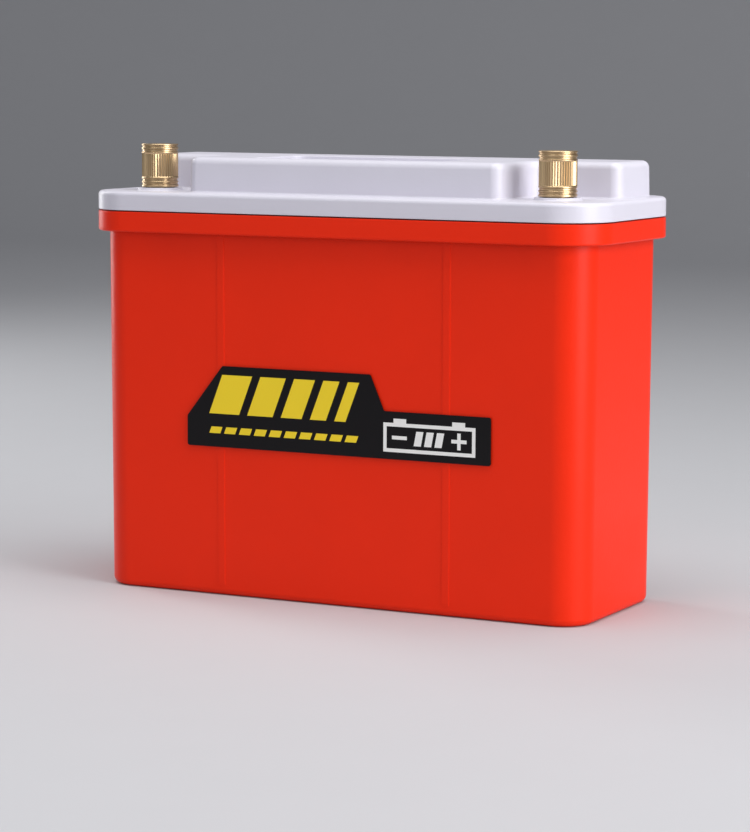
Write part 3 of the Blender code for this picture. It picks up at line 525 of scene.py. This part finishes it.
foot, left = LABEL_LOW[2], LABEL_LOW[0]
PRINT_MARGIN = 9.2 * MM
STRIPE_WIDTHS, STRIPE_GAP = (12.5, 10.5, 8.5, 6.5, 4.5), 3.4
STRIPE_FOOT, STRIPE_HEIGHT, STRIPE_LEAN = 12.2 * MM, 14.3 * MM, 5.5 * MM
DASH_WIDTH, DASH_PITCH, DASH_HEIGHT, DASH_FOOT, DASHES = 4.6 * MM, 6.2 * MM, 2.4 * MM, 5 * MM, 10
stripes, x = [], left + PRINT_MARGIN
for n, width in enumerate(STRIPE_WIDTHS):
    stripes.append(ink(f"stripe_{n}", x, foot + STRIPE_FOOT, width * MM, STRIPE_HEIGHT, STRIPE_LEAN))
    x += (width + STRIPE_GAP) * MM
dashes = []
for n in range(DASHES):
    x = left + PRINT_MARGIN + n * DASH_PITCH
    dashes.append(ink(f"dash_{n}", x, foot + DASH_FOOT, DASH_WIDTH, DASH_HEIGHT, DASH_HEIGHT * 0.4))
print_of("label_yellow", stripes + dashes, (0.9, 0.66, 0.01))
sign_x, sign_z, sign_w, sign_h = left + 80.5 * MM, foot + 2.6 * MM, 36 * MM, 10.4 * MM
STROKE, ARM, SIGN_MARGIN = 1.3 * MM, 2.3 * MM, 3.4 * MM
BLOCK, BLOCK_START, BLOCK_MARGIN = 2.8 * MM, 12 * MM, 2.6 * MM
TAB, TAB_INSET = 5 * MM, 4 * MM
middle_z = sign_z + (sign_h - STROKE) / 2
plus_x = sign_x + sign_w - SIGN_MARGIN - ARM - STROKE
sign = [
    ink("sign_foot", sign_x, sign_z, sign_w, STROKE),
    ink("sign_head", sign_x, sign_z + sign_h - STROKE, sign_w, STROKE),
    ink("sign_left", sign_x, sign_z + STROKE, STROKE, sign_h - 2 * STROKE),
    ink("sign_right", sign_x + sign_w - STROKE, sign_z + STROKE, STROKE, sign_h - 2 * STROKE),
    ink("sign_minus", sign_x + SIGN_MARGIN, middle_z, 2 * ARM + STROKE, STROKE),
    ink("sign_plus", plus_x - ARM, middle_z, 2 * ARM + STROKE, STROKE),
    ink("sign_plus_up", plus_x, middle_z + STROKE, STROKE, ARM),
    ink("sign_plus_down", plus_x, middle_z - ARM, STROKE, ARM),
    ink("sign_tab_left", sign_x + TAB_INSET, sign_z + sign_h, TAB, STROKE * 1.2),
    ink("sign_tab_right", sign_x + sign_w - TAB_INSET - TAB, sign_z + sign_h, TAB, STROKE * 1.2),
]
blocks = []
for n in range(3):
    x = sign_x + BLOCK_START + n * 1.45 * BLOCK
    blocks.append(ink(f"block_{n}", x, sign_z + BLOCK_MARGIN, BLOCK, sign_h - 2 * BLOCK_MARGIN, MM))
print_of("label_white", sign + blocks, (0.85, 0.85, 0.83))

# Foam. Closed-cell foam sheet, cut to size and pushed between the cells and the case to stop rattles: a
# pad below, and a piece on each side.
for node in ("bottom_pad", "foam_front", "foam_rear", "foam_left", "foam_right"):
    low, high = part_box(node)
    pad = rounded_box(node + "_foam", low, high)
    round_edges(pad, lambda edge: True, min(b - a for a, b in zip(low, high)) * 0.3, 4)
    finish_shading(pad, 60)
    wear(pad, surface(node + "_cells", (0.035, 0.035, 0.04), 0.92, 1400, 0.0002, variation=0.4, smudges=0.03))
    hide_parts(node)
    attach(pad, "root")

# The other nodes: gasket, seals, cells, busbars, screws, lugs, leads and the board. They keep their own
# meshes, and each slot gets the finish of its real stuff: plated, rolled, drawn or moulded. The glass
# tape and the board's laminate have a grain drawn out one way, which stands in for their weave.
FINISHES = {
    "black_rubber": surface("seal_rubber", (0.02, 0.02, 0.02), 0.62, 1200, 0.00004, variation=0.3),
    "zinc_plated_steel": surface("zinc_plate", (0.62, 0.63, 0.66), 0.3, 500, 0.00001, stretch=(1, 1, 8),
                                 metallic=1.0),
    "tinned_copper": surface("tinned_copper_sheet", (0.7, 0.62, 0.55), 0.36, 400, 0.00002, variation=0.3,
                             metallic=1.0),
    "nickel_plated_copper": surface("nickel_plate", (0.66, 0.64, 0.6), 0.26, 300, 0.00001, variation=0.15,
                                    stretch=(1, 12, 1), metallic=1.0),
    "cell_wrap": surface("cell_film", (0.02, 0.09, 0.4), 0.3, 60, 0.0001, variation=0.1),
    "aluminium": surface("drawn_aluminium", (0.78, 0.79, 0.8), 0.34, 350, 0.00002, stretch=(12, 1, 1),
                         metallic=1.0),
    "white_nylon": surface("plug_nylon", (0.76, 0.74, 0.66), 0.5, 900, 0.00003, variation=0.1),
    "red_silicone": surface("red_lead", (0.5, 0.015, 0.012), 0.45, 700, 0.00003, variation=0.15),
    "black_silicone": surface("black_lead", (0.018, 0.018, 0.018), 0.45, 700, 0.00003, variation=0.15),
    "black_label": surface("label_film", (0.004, 0.003, 0.004), 0.3, 400, 0.00001, variation=0.3, gloss=0.2),
    "glass_tape": surface("tape_weave", (0.7, 0.66, 0.5), 0.55, 500, 0.0001, stretch=(1, 1, 6)),
    "glass_laminate": surface("laminate_weave", (0.5, 0.53, 0.3), 0.5, 450, 0.00004, stretch=(5, 1, 1)),
    "circuit_board": surface("solder_mask", (0.012, 0.16, 0.06), 0.32, 260, 0.00005, variation=0.5,
                             stretch=(1, 4, 1)),
    "red_plastic": case.data.materials[0],
    "white_plastic": lid.data.materials[0],
    "brass": brass,
    "black_foam": bpy.data.materials["bottom_pad_cells"],
}
for part in frame["record"]["subparts"]:
    node = frame["nodes"][part["node"]]
    for material_slot in node.material_slots:
        material_slot.material = FINISHES[part["material_slot"]]

# Studio: a pale sheet that runs back and curves up behind, a large softbox on the right, one above, a
# weak one in front and a narrow one on the left that lights the far edge.
FLOOR_SIZE, FLOOR_MIDDLE, BACKDROP_HEIGHT = 10, -2, 5
bpy.ops.object.select_all(action="DESELECT")
bpy.ops.mesh.primitive_plane_add(size=FLOOR_SIZE, location=(0, FLOOR_MIDDLE, 0))
floor = bpy.context.object
floor.name = "floor"
bpy.ops.object.transform_apply(location=True, rotation=True, scale=True)
BACK_EDGE, SWEEP = 3.0, 1.2
pick(floor, "EDGE", lambda edge: all(v.co.y > BACK_EDGE - 0.01 for v in edge.verts))
bpy.ops.mesh.extrude_region_move(TRANSFORM_OT_translate={"value": (0, 0, BACKDROP_HEIGHT)})
bpy.ops.object.mode_set(mode="OBJECT")
round_edges(floor, lambda edge: at_height(0)(edge) and len(edge.link_faces) == 2, SWEEP, 16)
bpy.ops.object.shade_smooth()
wear(floor, surface("floor_paper", (0.52, 0.52, 0.54), 0.7, 300, 0.00002, variation=0.02, smudges=0.02))
floor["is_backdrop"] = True


def softbox(name, place, size, power, colour=(1, 1, 1)):
    """A rectangular area light that faces the middle of the battery."""
    light = bpy.data.lights.new(name, "AREA")
    light.shape = "RECTANGLE"
    light.size, light.size_y = size
    light.energy = power
    light.color = colour
    lamp = bpy.data.objects.new(name, light)
    lamp.location = place
    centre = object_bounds()
    aim = [(a + b) / 2 - c for a, b, c in zip(centre[0], centre[1], place)]
    lamp.rotation_euler = Vector(aim).to_track_quat("-Z", "Y").to_euler()
    bpy.context.scene.collection.objects.link(lamp)


softbox("softbox_right", (1.15, -0.25, 0.45), (0.7, 1.0), 13)
softbox("softbox_above", (0.1, -0.15, 1.25), (1.1, 0.9), 11.5)
softbox("softbox_front", (-0.45, -1.5, 0.65), (0.9, 0.7), 2.4)
softbox("softbox_left", (-1.1, 0.35, 0.4), (0.3, 0.9), 5)
world = bpy.data.worlds.new("surround")
world.use_nodes = True
world.node_tree.nodes["Background"].inputs["Color"].default_value = (0.86, 0.88, 0.92, 1)
world.node_tree.nodes["Background"].inputs["Strength"].default_value = 0.32
bpy.context.scene.world = world
bpy.context.scene.view_settings.view_transform = "Standard"

CAMERA_PLACE = (0.4867, -0.9501, 0.1915)
CAMERA_TURN = (83.255, -0.236, 27.183)
CAMERA_LENS = 126.35
lens = bpy.data.cameras.new("camera")
lens.lens = CAMERA_LENS
lens.sensor_width = 36
camera = bpy.data.objects.new("camera", lens)
camera.location = CAMERA_PLACE
camera.rotation_euler = [math.radians(angle) for angle in CAMERA_TURN]
bpy.context.scene.collection.objects.link(camera)
bpy.context.scene.camera = camera
